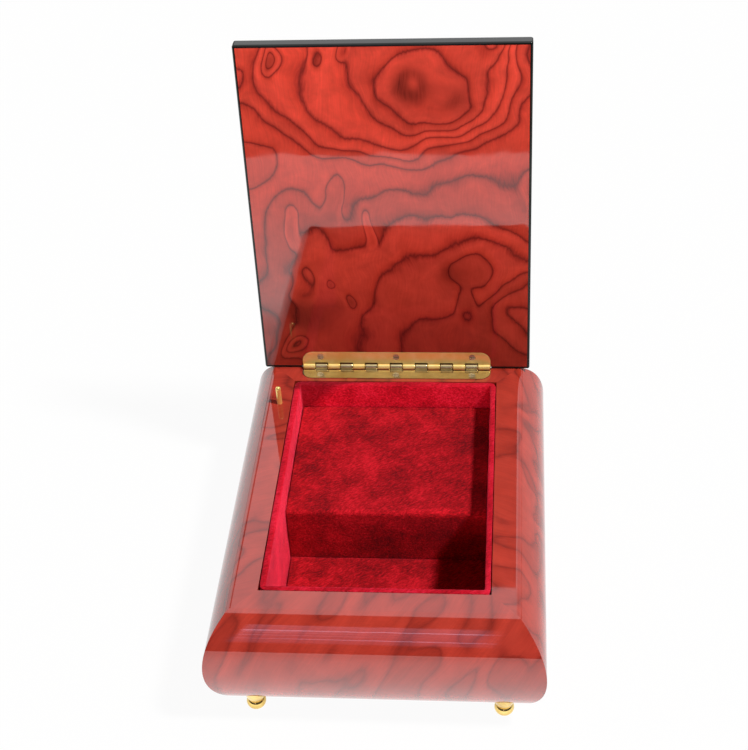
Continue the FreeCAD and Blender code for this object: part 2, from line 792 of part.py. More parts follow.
def bridge_solid():
    ends = bridge_post_y + bridge_post_radius
    left = barrel_x - bridge_half_width
    right = barrel_x + bridge_half_width
    plate = block(left, right, cylinder_y - ends, cylinder_y + ends, bridge_z, bridge_top)
    rooms = [machine_room(place) for place in bridge_screw_places]
    rooms.append(blind_room(click_screw_place, click_screw_length))
    shaft = V(barrel_x, cylinder_y, bridge_z - 1)
    rooms.append(rod(arbor_radius + running_clearance, shaft, shaft + Z * (bridge_thickness + 2)))
    return plate.cut(rooms)


# Ratchet wheel on the arbor, and the click beside it that keeps the mainspring wound.
click_tip_y = cylinder_y + ratchet_radius + lever_gap
click_thickness = ratchet_lift + ratchet_thickness
click_screw_length = click_thickness + bridge_thickness - screw_tip_room
click_screw_place = V(barrel_x, click_tip_y + click_length, bridge_top + click_thickness)


def ratchet_solid():
    points = []
    for tooth in range(ratchet_teeth):
        for share, radius in ((0, ratchet_radius), (ratchet_back_share, ratchet_radius - ratchet_depth)):
            angle = 2 * math.pi * (tooth + share) / ratchet_teeth
            points.append(V(radius * math.cos(angle), radius * math.sin(angle), 0))
    wheel = prism(points, Z * ratchet_thickness).cut(rod(arbor_radius, -Z, Z * (ratchet_thickness + 1)))
    return placed(wheel, V(barrel_x, cylinder_y, ratchet_z))


def click_solid():
    low = bridge_top
    high = low + click_thickness
    middle = click_screw_place
    boss = rod(machine_head_radius, V(middle.x, middle.y, low), V(middle.x, middle.y, high))
    arm = block(barrel_x - click_half_width, barrel_x + click_half_width, click_tip_y, middle.y, low, high)
    return boss.fuse(arm).cut(blind_room(middle, click_screw_length)).removeSplitter()


# Governor: the worm turns the fan, whose blades beat the air and hold the speed down.
def fan_worm_solid():
    lead = math.pi * train_module
    start_z = governor_z - 0.25 * lead - (worm_turns // 2) * lead
    height = worm_turns * lead
    tip = worm_radius + train_module * tooth_addendum
    foot_radius = worm_core_radius - worm_sink
    helix = Part.makeHelix(lead, height, worm_radius)
    section = Part.makePolygon([
        V(foot_radius, 0, -root_share * lead),
        V(tip, 0, -tip_share * lead),
        V(tip, 0, tip_share * lead),
        V(foot_radius, 0, root_share * lead),
        V(foot_radius, 0, -root_share * lead),
    ])
    thread = Part.Wire(helix.Edges).makePipeShell([section], True, True)
    thread.translate(V(fan_x, fan_y, start_z))
    core = rod(worm_core_radius, V(fan_x, fan_y, start_z - lead), V(fan_x, fan_y, start_z + height + lead))
    foot_z = inside_z + pivot_floor + running_clearance
    top_z = bracket_z + bracket_thickness
    spindle = rod(thin_spindle_radius, V(fan_x, fan_y, foot_z), V(fan_x, fan_y, top_z))
    return core.fuse([spindle, thread])


def fan_blades_solid():
    half = fan_thickness / 2
    hub_radius = 2 * thin_spindle_radius
    blade = block(fan_x - fan_radius, fan_x + fan_radius, fan_y - half, fan_y + half, fan_low, fan_high)
    hub = rod(hub_radius, V(fan_x, fan_y, fan_low), V(fan_x, fan_y, fan_high))
    sweep = rod(fan_radius, V(fan_x, fan_y, fan_low), V(fan_x, fan_y, fan_high))
    bore = rod(thin_spindle_radius, V(fan_x, fan_y, fan_low - 1), V(fan_x, fan_y, fan_high + 1))
    return blade.fuse(hub).common(sweep).cut(bore).removeSplitter()


def governor_arbor_solid():
    width = wheel_width + side_gap / 2
    leaves = gear(governor_pinion_teeth, train_module, width, thin_spindle_radius / 2)
    half_step = 180 / governor_pinion_teeth
    turn = governor_angle + 270 + half_step
    leaves = along_x(leaves, turn, wheel_left - side_gap / 4, governor_y, governor_z)
    left = V(post_d_x, governor_y, governor_z)
    right = V(post_c_x + post_thickness, governor_y, governor_z)
    return leaves.fuse(rod(thin_spindle_radius, left, right)).removeSplitter()


# Winding arbor and key. The key screws on under the bottom board.
def winding_arbor_solid():
    low = bottom_z - key_clearance - key_hub_height * key_bore_share
    high = ratchet_z + ratchet_thickness
    return rod(arbor_radius, V(barrel_x, cylinder_y, low), V(barrel_x, cylinder_y, high))


def winding_key_solid():
    hub_top = bottom_z - key_clearance
    hub_low = hub_top - key_hub_height
    wing_low = key_floor_gap
    wing_high = wing_low + key_wing_height
    half = key_wing_thickness / 2
    round_size = key_wing_height / 2
    middle_z = (wing_low + wing_high) / 2
    straight = key_wing_width / 2 - round_size
    wing = block(-straight, straight, -half, half, wing_low, wing_high)
    for side in (-1, 1):
        end = V(side * straight, 0, middle_z)
        wing = wing.fuse(rod(round_size, end - Y * half, end + Y * half))
        wing = wing.cut(rod(round_size / 2, end - Y * key_wing_thickness, end + Y * key_wing_thickness))
    key = wing.fuse(rod(key_hub_radius, V(0, 0, hub_low), V(0, 0, hub_top))).removeSplitter()
    key = key.cut(rod(arbor_radius, V(0, 0, hub_top - key_hub_height * key_bore_share), V(0, 0, hub_top + 1)))
    return placed(key, V(barrel_x, cylinder_y, 0))


# Body pieces
foot_x = half_width - foot_inset_x
foot_y = half_depth - foot_inset_y
foot_places = {
    "foot_front_left": (-foot_x, box_y - foot_y),
    "foot_front_right": (foot_x, box_y - foot_y),
    "foot_rear_left": (-foot_x, box_y + foot_y),
    "foot_rear_right": (foot_x, box_y + foot_y),
}
feet = {name: foot(x, y) for name, (x, y) in foot_places.items()}
stud_rooms = []
for x, y in foot_places.values():
    stud_rooms.append(rod(foot_stud_radius, V(x, y, 0), V(x, y, foot_height + foot_stud_length)))

bottom_screw_places = []
for side in (-1, 1):
    for step in (-0.5, 0.5):
        x = side * (opening_x + rabbet / 2)
        bottom_screw_places.append(V(x, box_y + step * bottom_screw_pitch, bottom_z))
    bottom_screw_places.append(V(0, box_y + side * (opening_y + rabbet / 2), bottom_z))
bottom_screws = []
bottom_screw_rooms = []
for place in bottom_screw_places:
    screw = wood_screw(bottom_screw_head, bottom_screw_shank, bottom_screw_length)
    bottom_screws.append(placed(screw, place, -Z))
    room = screw_blank(bottom_screw_head, bottom_screw_shank, bottom_screw_length, screw_play)
    bottom_screw_rooms.append(placed(room, place, -Z))

side_rooms = stud_rooms + bottom_screw_rooms
front_panel = moulding(half_depth, half_width, 180).cut(side_rooms)
right_panel = moulding(half_width, half_depth, -90).cut(side_rooms)
left_panel = moulding(half_width, half_depth, 90).cut(side_rooms)
back_panel = moulding(half_depth, half_width, 0).cut(side_rooms)
rim_mortise = leaf_plate(rim_leaf_z, rim_z + 1, mortise_play)
back_panel = back_panel.cut([knuckle_groove(), rim_mortise] + rim_screw_rooms)

pocket_left = -opening_x - pocket_reach
pocket_front = pin_y - pocket_half_width
pocket_back = pin_y + pocket_half_width
pocket = block(pocket_left, -inner_x + 1, pocket_front, pocket_back, pocket_low, pocket_high)
pin_bore = rod(pin_radius + pin_clearance, V(pin_x, pin_y, pocket_low), V(pin_x, pin_y, rim_z + 1))
left_panel = left_panel.cut([pocket, pin_bore])

bottom_half_x = opening_x + rabbet - board_clearance
bottom_half_y = opening_y + rabbet - board_clearance
bottom_front = box_y - bottom_half_y
bottom_back = box_y + bottom_half_y
bottom_panel = block(-bottom_half_x, bottom_half_x, bottom_front, bottom_back, bottom_z, inside_z)
key_hole = rod(key_hole_radius, V(barrel_x, cylinder_y, 0), V(barrel_x, cylinder_y, rim_z))
movement_rooms = []
for place in movement_screw_places:
    above = place + Z * (bottom_thickness + 1)
    movement_rooms.append(rod(machine_shank_radius + screw_play, place - Z, above))
bottom_panel = bottom_panel.cut(bottom_screw_rooms + movement_rooms + [key_hole])

# Lining boards, the deck over the movement and the floor of the front well
liner_top = rim_z + liner_proud
outer_x = opening_x - liner_clearance
outer_y = opening_y - liner_clearance
liner_left = block(-outer_x, -inner_x, box_y - outer_y, box_y + outer_y, inside_z, liner_top).cut(pocket)
liner_right = block(inner_x, outer_x, box_y - outer_y, box_y + outer_y, inside_z, liner_top)
liner_front = block(-inner_x, inner_x, box_y - outer_y, box_y - inner_y, inside_z, liner_top)
liner_back = block(-inner_x, inner_x, box_y + inner_y, box_y + outer_y, inside_z, liner_top)
deck = block(-inner_x, inner_x, riser_y, box_y + inner_y, deck_z - deck_thickness, deck_z)
riser = block(-inner_x, inner_x, riser_y, riser_y + riser_thickness, inside_z, deck_z - deck_thickness)
well_floor = block(-inner_x, inner_x, box_y - inner_y, riser_y, inside_z, inside_z + floor_thickness)

cylinder_arbor = rod(
    spindle_radius, V(post_b_x, cylinder_y, cylinder_z), V(mesh_x + crown_face, cylinder_y, cylinder_z)
)
pinion = gear(pinion_teeth, crown_module, crown_face, spindle_radius)
great_wheel = gear(wheel_teeth, train_module, wheel_width, spindle_radius)
worm_wheel = gear(worm_wheel_teeth, train_module, wheel_width, thin_spindle_radius)
movement_screws = []
for place in movement_screw_places:
    movement_screws.append(placed(machine_screw(movement_screw_length), place, -Z))

nodes = {
    "front_panel": front_panel,
    "back_panel": back_panel,
    "left_panel": left_panel,
    "right_panel": right_panel,
    "bottom_panel": bottom_panel,
    "bottom_screws": Part.makeCompound(bottom_screws),
    "liner_front": liner_front,
    "liner_back": liner_back,
    "liner_left": liner_left,
    "liner_right": liner_right,
    "deck": deck,
    "riser": riser,
    "well_floor": well_floor,
    "hinge_rim_leaf": hinge_rim_leaf,
    "hinge_rim_screws": Part.makeCompound(rim_screws),
    "hinge_pin": hinge_pin,
    "lid_core": opened(lid_core),
    "lid_inner_veneer": opened(lid_inner_veneer),
    "lid_outer_veneer": opened(lid_outer_veneer),
    "hinge_lid_leaf": opened(hinge_lid_leaf),
    "hinge_lid_screws": opened(Part.makeCompound(lid_screws)),
    "stop_pin": stop_pin_solid(),
    "stop_lever": stop_lever_solid(),
    "lever_screw": lever_screw_solid(),
    "return_spring": return_spring_solid(),
    "movement_bedplate": bedplate_solid(),
    "movement_screws": Part.makeCompound(movement_screws),
    "spring_barrel": spring_barrel_solid(),
    "mainspring": mainspring_solid(),
    "winding_arbor": winding_arbor_solid(),
    "winding_key": winding_key_solid(),
    "ratchet_wheel": ratchet_solid(),
    "click": click_solid(),
    "click_screw": placed(machine_screw(click_screw_length), click_screw_place),
    "barrel_bridge": bridge_solid(),
    "bridge_screws": machine_screws(bridge_screw_length, bridge_screw_places),
    "cylinder_drum": drum_solid(),
    "cylinder_pins": note_pins(),
    "cylinder_arbor": cylinder_arbor,
    "cylinder_pinion": along_x(pinion, 0, mesh_x - crown_face / 2, cylinder_y, cylinder_z),
    "cylinder_wheel": along_x(great_wheel, governor_angle + 90, wheel_left, cylinder_y, cylinder_z),
    "comb": comb_solid(),
    "comb_screws": machine_screws(comb_screw_length, comb_screw_places()),
    "governor_arbor": governor_arbor_solid(),
    "governor_wheel": along_x(worm_wheel, 90, worm_wheel_x, governor_y, governor_z),
    "fan_worm": fan_worm_solid(),
    "fan_blades": fan_blades_solid(),
    "governor_bracket": bracket_solid(),
    "bracket_screws": machine_screws(bracket_screw_length, bracket_screw_places),
}
nodes.update(feet)

os.makedirs("parts", exist_ok=True)
for name, shape in nodes.items():
    shape.exportStep("parts/%s.step" % name)

axes = {
    "lid hinge": V(0, hinge_y, hinge_z),
    "stop pin": V(pin_x, pin_y, rim_z + pin_height),
    "stop lever": V(lever_x, pin_y, lever_z),
    "barrel and key": V(barrel_x, cylinder_y, movement_z),
    "cylinder": V(mesh_x, cylinder_y, cylinder_z),
    "governor wheel": V(worm_wheel_x, governor_y, governor_z),
    "fan": V(fan_x, fan_y, governor_z),
}
for name, point in axes.items():
    print("%s: %.4f %.4f %.4f" % (name, point.x, point.y, point.z))
print("pin travel %.4f, lever swing %.4f degrees each way" % (pin_travel, lever_swing))
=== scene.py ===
import bmesh
import bpy
import math
from mathutils import Matrix, Vector, noise


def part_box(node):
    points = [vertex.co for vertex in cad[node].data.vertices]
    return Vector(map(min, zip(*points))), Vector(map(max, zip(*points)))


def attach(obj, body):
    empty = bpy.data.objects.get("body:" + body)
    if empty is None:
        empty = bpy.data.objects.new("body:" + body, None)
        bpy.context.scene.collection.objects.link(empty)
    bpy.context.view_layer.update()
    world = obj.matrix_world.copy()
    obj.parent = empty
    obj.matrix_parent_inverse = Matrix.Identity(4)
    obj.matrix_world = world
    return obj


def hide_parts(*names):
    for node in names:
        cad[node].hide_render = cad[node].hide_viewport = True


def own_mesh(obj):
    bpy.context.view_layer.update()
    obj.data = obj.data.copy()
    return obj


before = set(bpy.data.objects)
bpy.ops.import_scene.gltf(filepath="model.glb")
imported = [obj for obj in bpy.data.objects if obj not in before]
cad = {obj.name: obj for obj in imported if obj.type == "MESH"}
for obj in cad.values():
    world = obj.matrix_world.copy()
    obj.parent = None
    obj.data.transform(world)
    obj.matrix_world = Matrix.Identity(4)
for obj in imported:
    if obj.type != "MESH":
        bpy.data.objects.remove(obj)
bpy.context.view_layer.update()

# Side panels
# Four moulded boards with a round belly, mitred and glued into a frame and veneered all over in
# red-stained burl, under a thick clear lacquer that is polished to a mirror.


def srgb(red, green, blue):
    linear = [c / 12.92 if c < 0.04 else ((c + 0.055) / 1.055) ** 2.4 for c in (red, green, blue)]
    return (*linear, 1.0)


def join(tree, sockets, values):
    for socket, value in values.items():
        if isinstance(value, bpy.types.NodeSocket):
            tree.links.new(value, sockets[socket])
        else:
            sockets[socket].default_value = value


def add(tree, kind, values=None, **settings):
    node = tree.nodes.new("ShaderNode" + kind)
    for name, value in settings.items():
        setattr(node, name, value)
    join(tree, node.inputs, values or {})
    return node.outputs


def calc(tree, operation, *values):
    return add(tree, "Math", dict(enumerate(values)), operation=operation)[0]


def reckon(tree, operation, *values):
    outputs = add(tree, "VectorMath", dict(enumerate(values)), operation=operation)
    return outputs["Value" if operation == "DOT_PRODUCT" else "Vector"]


def cloud(tree, place, scale, detail=2.0, roughness=0.5):
    values = {"Vector": place, "Scale": scale, "Detail": detail, "Roughness": roughness}
    return add(tree, "TexNoise", values)


def span(tree, value, low, high, new_low=0.0, new_high=1.0):
    values = {"Value": value, "From Min": low, "From Max": high, "To Min": new_low, "To Max": new_high}
    return add(tree, "MapRange", values)["Result"]


def ramp(tree, value, stops):
    node = tree.nodes.new("ShaderNodeValToRGB")
    elements = node.color_ramp.elements
    while len(elements) < len(stops):
        elements.new(1.0)
    for element, (place, colour) in zip(elements, stops):
        element.position = place
        element.color = colour
    tree.links.new(value, node.inputs["Fac"])
    return node.outputs["Color"]


def mix(tree, kind, share, first, second):
    node = tree.nodes.new("ShaderNodeMix")
    node.data_type = "RGBA"
    node.blend_type = kind
    join(tree, node.inputs, {0: share, 6: first, 7: second})
    return node.outputs[2]


def bump(tree, strength, distance, height):
    return add(tree, "Bump", {"Strength": strength, "Distance": distance, "Height": height})["Normal"]


def new_group(name, inputs, outputs):
    tree = bpy.data.node_groups.new(name, "ShaderNodeTree")
    for side, sockets in (("INPUT", inputs), ("OUTPUT", outputs)):
        for label, kind in sockets.items():
            tree.interface.new_socket(label, in_out=side, socket_type="NodeSocket" + kind)
    return tree, tree.nodes.new("NodeGroupInput").outputs, tree.nodes.new("NodeGroupOutput").inputs


def place_group(tree, group, values):
    node = tree.nodes.new("ShaderNodeGroup")
    node.node_tree = group
    join(tree, node.inputs, values)
    return node.outputs


def new_finish(name):
    material = bpy.data.materials.new(name)
    material.use_nodes = True
    tree = material.node_tree
    return material, tree, tree.nodes["Principled BSDF"].inputs, add(tree, "TexCoord")["Object"]


def dress(material, *names):
    for name in names:
        cad[name].material_slots[0].material = material


# An eye of the burl lifts the height field whose contour lines are the growth rings.
burl_eye, given, made = new_group(
    "burl_eye",
    {
        "Place": "Vector",
        "Middle": "Vector",
        "Reach": "Vector",
        "Rise": "Float",
        "Flatness": "Float",
        "Rings": "Float",
    },
    {"Rings": "Float"},
)
away = reckon(burl_eye, "SUBTRACT", given["Place"], given["Middle"])
away = reckon(burl_eye, "MULTIPLY", reckon(burl_eye, "DIVIDE", away, given["Reach"]), (1.0, 1.0, 0.0))
falloff = calc(burl_eye, "POWER", reckon(burl_eye, "DOT_PRODUCT", away, away), given["Flatness"])
lift = calc(burl_eye, "EXPONENT", calc(burl_eye, "MULTIPLY", falloff, -1.0))
lift = calc(burl_eye, "MULTIPLY_ADD", lift, given["Rise"], given["Rings"])
burl_eye.links.new(lift, made["Rings"])

# The figure draws those rings, with jagged edges, bands of uneven stain, fine fibres and dark smudges.
ring_jag = 0.16
plain_wood = srgb(0.86, 0.27, 0.20)
ring_stops = [
    (0.00, srgb(0.48, 0.14, 0.12)),
    (0.05, srgb(0.68, 0.20, 0.16)),
    (0.14, srgb(0.84, 0.27, 0.21)),
    (0.35, srgb(0.91, 0.30, 0.23)),
    (0.68, srgb(0.88, 0.28, 0.21)),
    (0.87, srgb(0.80, 0.24, 0.18)),
    (0.95, srgb(0.66, 0.19, 0.15)),
    (1.00, srgb(0.48, 0.14, 0.12)),
]
burl_figure, given, made = new_group(
    "burl_figure",
    {
        "Place": "Vector",
        "Rings": "Float",
        "Smudge": "Float",
        "Wander": "Float",
        "Contrast": "Float",
        "Stain": "Float",
    },
    {"Color": "Color", "Ripple": "Float"},
)
broad = calc(burl_figure, "SUBTRACT", cloud(burl_figure, given["Place"], 0.042, 1.5, 0.45)["Fac"], 0.5)
fibre_place = reckon(burl_figure, "MULTIPLY", given["Place"], (1.5, 0.07, 1.0))
fibre = calc(burl_figure, "SUBTRACT", cloud(burl_figure, fibre_place, 1.0, 2.0)["Fac"], 0.5)
jag_place = reckon(burl_figure, "MULTIPLY", given["Place"], (1.1, 0.22, 1.0))
jag = calc(burl_figure, "SUBTRACT", cloud(burl_figure, jag_place, 1.0, 2.0, 0.6)["Fac"], 0.5)
rings = calc(burl_figure, "MULTIPLY_ADD", broad, given["Wander"], given["Rings"])
rings = calc(burl_figure, "MULTIPLY_ADD", jag, ring_jag, rings)
figure = ramp(burl_figure, calc(burl_figure, "FRACT", rings), ring_stops)
band_number = calc(burl_figure, "FLOOR", rings)
band = add(burl_figure, "TexWhiteNoise", {"W": band_number}, noise_dimensions="1D")["Value"]
mottle = cloud(burl_figure, given["Place"], 0.13, 3.0, 0.6)["Fac"]
shade = span(burl_figure, band, 0.0, 1.0, 0.82, 1.05)
shade = calc(burl_figure, "MULTIPLY", shade, span(burl_figure, fibre, -0.25, 0.25, 0.91, 1.08))
shade = calc(burl_figure, "MULTIPLY", shade, span(burl_figure, mottle, 0.25, 0.75, 0.84, 1.14))
# The Stain input scales the whole colour: an even stain on the panels, and on the inner lid painted light
# that grows towards the top.
shade = calc(burl_figure, "MULTIPLY", shade, given["Stain"])
smoke_fibre = span(burl_figure, fibre, -0.25, 0.25, 0.75, 1.20)
smoke = calc(burl_figure, "MULTIPLY", given["Smudge"], smoke_fibre)
shade = calc(burl_figure, "MULTIPLY", shade, calc(burl_figure, "SUBTRACT", 1.0, smoke))
figure = mix(burl_figure, "MIX", given["Contrast"], plain_wood, figure)
burl_figure.links.new(mix(burl_figure, "MULTIPLY", 1.0, figure, shade), made["Color"])
burl_figure.links.new(cloud(burl_figure, given["Place"], 0.05, 1.0)["Fac"], made["Ripple"])


def rise_round(tree, place, rings, eyes):
    for eye_u, eye_v, reach_u, reach_v, rise, flatness in eyes:
        values = {
            "Place": place,
            "Middle": (eye_u, eye_v, 0.0),
            "Reach": (reach_u, reach_v, 1.0),
            "Rise": rise,
            "Flatness": flatness,
            "Rings": rings,
        }
        rings = place_group(tree, burl_eye, values)["Rings"]
    return rings


lacquer_index = 1.75
lacquer_wave = 0.00006
grain_stray = 13.0


def lacquered_burl(name, along, down, start, wander, contrast, tone_ramp, eyes, smudges):
    material, tree, surface, place = new_finish(name)
    millimetres = reckon(tree, "SCALE", place)
    millimetres.node.inputs["Scale"].default_value = 1000.0
    u = reckon(tree, "DOT_PRODUCT", millimetres, along)
    v = reckon(tree, "DOT_PRODUCT", millimetres, down)
    flat = add(tree, "CombineXYZ", {"X": u, "Y": v})["Vector"]
    flat = reckon(tree, "ADD", flat, start)
    stray = reckon(tree, "SUBTRACT", cloud(tree, flat, 0.045, 1.0)["Color"], (0.5, 0.5, 0.5))
    bent = reckon(tree, "MULTIPLY_ADD", stray, (grain_stray, grain_stray, 0.0), flat)
    # On the inner lid this tone ramp is painted light, a colour lighter towards the top; on the panels it
    # is an even stain.
    stain_and_light_start, stain_and_light_end, first_stain_and_light, last_stain_and_light = tone_ramp
    stain_and_light_drift = span(tree, v, stain_and_light_start, stain_and_light_end)
    look = {
        "Place": bent,
        "Rings": rise_round(tree, bent, 0.5, eyes),
        "Smudge": rise_round(tree, bent, 0.0, smudges),
        "Wander": wander,
        "Contrast": contrast,
        "Stain": calc(tree, "MULTIPLY_ADD", stain_and_light_drift, last_stain_and_light - first_stain_and_light, first_stain_and_light),
    }
    figure = place_group(tree, burl_figure, look)
    smear = span(tree, cloud(tree, place, 90.0, 2.0)["Fac"], 0.3, 0.7, 0.02, 0.045)
    wave = bump(tree, 1.0, lacquer_wave, figure["Ripple"])
    join(tree, surface, {"Base Color": figure["Color"], "Roughness": smear})
    join(tree, surface, {"IOR": lacquer_index, "Normal": wave})
    return material


even_stain, lighter_stain = (0.0, 1.0, 0.56, 0.56), (0.0, 1.0, 0.60, 0.60)
panel_leaves = {
    "front": ((0.80, -0.45, -0.45), (0.34, 0.24, 0.24), (430, 30, 0), 5.5, 0.50, lighter_stain),
    "back": ((0.95, -0.30, 0.30), (-0.22, -0.42, 0.42), (800, 60, 0), 6.5, 0.62, even_stain),
    "left": ((-0.25, 0.80, -0.25), (0.45, 0.20, 0.45), (1200, 90, 0), 6.5, 0.62, even_stain),
    "right": ((0.25, 0.80, -0.25), (-0.45, 0.20, 0.45), (1600, 20, 0), 6.5, 0.56, lighter_stain),
}
for side, leaf in panel_leaves.items():
    dress(lacquered_burl("burl_" + side, *leaf, [], []), side + "_panel")

# Bottom board and its screws
# A thin board of stained softwood, let into a rabbet under the sides and held by steel screws.
bottom_stain, tree, surface, place = new_finish("bottom_stain")
streak_place = reckon(tree, "MULTIPLY", place, (900.0, 30.0, 900.0))
streak = cloud(tree, streak_place, 1.0, 4.0, 0.6)["Fac"]
pore_place = reckon(tree, "MULTIPLY", place, (3000.0, 160.0, 3000.0))
pore = cloud(tree, pore_place, 1.0, 2.0)["Fac"]
tone_ramp = ramp(tree, streak, [(0.3, srgb(0.20, 0.08, 0.05)), (0.7, srgb(0.38, 0.17, 0.10))])
grain = calc(tree, "MULTIPLY_ADD", pore, 0.5, streak)
raised = bump(tree, 0.4, 0.0001, grain)
matt = span(tree, pore, 0.3, 0.7, 0.45, 0.65)
join(tree, surface, {"Base Color": tone_ramp, "Roughness": matt, "Normal": raised})
dress(bottom_stain, "bottom_panel")

brushed, given, made = new_group(
    "brushed",
    {"Place": "Vector", "Stretch": "Vector"},
    {"Line": "Float", "Stain": "Float"},
)
lines_place = reckon(brushed, "MULTIPLY", given["Place"], given["Stretch"])
brushed.links.new(cloud(brushed, lines_place, 1.0, 3.0, 0.65)["Fac"], made["Line"])
brushed.links.new(cloud(brushed, given["Place"], 140.0, 3.0, 0.6)["Fac"], made["Stain"])


def metal(name, dark, bright, shine, matt, stretch, depth, body=0.88):
    material, tree, surface, place = new_finish(name)
    look = place_group(tree, brushed, {"Place": place, "Stretch": stretch})
    colour = ramp(tree, look["Stain"], [(0.35, dark), (0.65, bright)])
    wear = calc(tree, "MULTIPLY_ADD", look["Line"], 0.6, look["Stain"])
    gloss = span(tree, wear, 0.6, 1.0, shine, matt)
    scratch = bump(tree, 1.0, depth, look["Line"])
    join(tree, surface, {"Base Color": colour, "Metallic": body, "Roughness": gloss, "Normal": scratch})
    return material


turned_steel = metal(
    "turned_steel",
    dark=srgb(0.52, 0.53, 0.55),
    bright=srgb(0.70, 0.71, 0.72),
    shine=0.18,
    matt=0.34,
    stretch=(400.0, 9000.0, 9000.0),
    depth=0.000002,
)
dress(turned_steel, "bottom_screws")

# Feet
# Four turned brass feet with a rounded bead on the floor and a flared cup above it, polished and
# lacquered. A stud on top of each goes up into the corner of the sides.
bright_brass = metal(
    "bright_brass",
    dark=srgb(0.80, 0.66, 0.35),
    bright=srgb(0.93, 0.82, 0.52),
    shine=0.06,
    matt=0.13,
    stretch=(3000.0, 3000.0, 3000.0),
    depth=0.0000008,
)
dress(bright_brass, "foot_front_left", "foot_front_right", "foot_rear_left", "foot_rear_right")

# Movement
# A key-wound comb and cylinder movement on a cast bedplate, screwed down under the deck: a brass
# spring barrel drives the pinned cylinder past the steel comb, and a plastic fan governs its speed.
plate_casting, tree, surface, place = new_finish("plate_casting")
sand = cloud(tree, place, 2600.0, 3.0, 0.6)["Fac"]
flow = cloud(tree, place, 60.0, 2.0)["Fac"]
cast_colour = ramp(tree, flow, [(0.3, srgb(0.50, 0.50, 0.49)), (0.7, srgb(0.64, 0.64, 0.62))])
pits = bump(tree, 0.6, 0.00004, sand)
cast_gloss = span(tree, sand, 0.3, 0.7, 0.38, 0.58)
join(tree, surface, {"Base Color": cast_colour, "Metallic": 0.9, "Roughness": cast_gloss, "Normal": pits})
dress(plate_casting, "movement_bedplate")

clock_brass = metal(
    "clock_brass",
    dark=srgb(0.74, 0.56, 0.26),
    bright=srgb(0.88, 0.71, 0.38),
    shine=0.20,
    matt=0.36,
    stretch=(500.0, 9000.0, 9000.0),
    depth=0.000003,
)
dress(clock_brass, "spring_barrel", "barrel_bridge", "click")
dress(clock_brass, "cylinder_drum", "cylinder_pinion", "cylinder_wheel")
dress(clock_brass, "governor_wheel", "governor_bracket")
dress(turned_steel, "movement_screws", "bridge_screws", "comb_screws", "bracket_screws", "click_screw")
dress(turned_steel, "mainspring", "winding_arbor", "ratchet_wheel", "cylinder_pins", "cylinder_arbor")
dress(turned_steel, "governor_arbor", "fan_worm")

comb_steel = metal(
    "comb_steel",
    dark=srgb(0.60, 0.61, 0.63),
    bright=srgb(0.78, 0.79, 0.80),
    shine=0.14,
    matt=0.30,
    stretch=(9000.0, 300.0, 9000.0),
    depth=0.000003,
)
dress(comb_steel, "comb")

fan_plastic, tree, surface, place = new_finish("fan_plastic")
speckle = cloud(tree, place, 1800.0, 2.0)["Fac"]
plastic_colour = ramp(tree, speckle, [(0.3, srgb(0.04, 0.10, 0.07)), (0.7, srgb(0.07, 0.15, 0.11))])
plastic_gloss = span(tree, speckle, 0.3, 0.7, 0.32, 0.46)
orange_peel = bump(tree, 0.3, 0.00002, speckle)
join(tree, surface, {"Base Color": plastic_colour, "Roughness": plastic_gloss, "Normal": orange_peel})
dress(fan_plastic, "fan_blades")

# Winding key
# A stamped and polished brass wing key. It is screwed onto the end of the winding arbor, under the
# bottom board, where the fingers reach it between the feet.
dress(bright_brass, "winding_key")

# Velvet lining
# Card boards wrapped in crimson velvet and glued in: four walls whose tops stand up as a soft round
# edge, a deck that folds down over its front edge as the riser, and the floor of the well.


def crimson_velvet(name, deep, middle, light, painted_light_and_shade):
    material, tree, surface, place = new_finish(name)
    brushed_way = cloud(tree, place, 42.0, 3.0, 0.55)["Fac"]
    crush = cloud(tree, place, 170.0, 3.0, 0.65)["Fac"]
    lean = {
        "X": reckon(tree, "DOT_PRODUCT", place, (400.0, 330.0, 230.0)),
        "Y": reckon(tree, "DOT_PRODUCT", place, (-700.0, 1000.0, 540.0)),
        "Z": reckon(tree, "DOT_PRODUCT", place, (390.0, -540.0, 1150.0)),
    }
    pile = cloud(tree, add(tree, "CombineXYZ", lean)["Vector"], 1.0, 3.0, 0.7)["Fac"]
    patches = calc(tree, "MULTIPLY_ADD", brushed_way, 0.7, calc(tree, "MULTIPLY", crush, 0.25))
    nap = calc(tree, "ADD", pile, patches)
    colour = ramp(tree, span(tree, nap, 0.76, 1.19), [(0.0, deep), (0.5, middle), (1.0, light)])
    # Each row paints light or shade: the colour is scaled to its share across a band along the given
    # direction.
    for towards, start, end, share in painted_light_and_shade:
        shade = span(tree, reckon(tree, "DOT_PRODUCT", place, towards), start, end, 1.0, share)
        colour = mix(tree, "MULTIPLY", 1.0, colour, shade)
    tufts = bump(tree, 0.8, 0.0005, pile)
    join(tree, surface, {"Base Color": colour, "Roughness": 0.95, "Specular IOR Level": 0.15})
    join(tree, surface, {"Normal": tufts, "Sheen Weight": 0.9, "Sheen Roughness": 0.35})
    join(tree, surface, {"Sheen Tint": srgb(1.0, 0.30, 0.42)})
    return material


# Painted highlight: the velvet colour is brightened up to 1.45 times along the deck's front edge, most of
# all at the right.
deck_low, deck_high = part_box("deck")
nose_reach = deck_high.z - deck_low.y
painted_nose_highlight = [((0.04, -1.0, 1.0), nose_reach - 0.0040, nose_reach - 0.0002, 1.45)]
deck_velvet = crimson_velvet(
    "deck_nap",
    deep=srgb(0.38, 0.02, 0.05),
    middle=srgb(0.60, 0.04, 0.08),
    light=srgb(0.79, 0.09, 0.15),
    painted_light_and_shade=painted_nose_highlight,
)
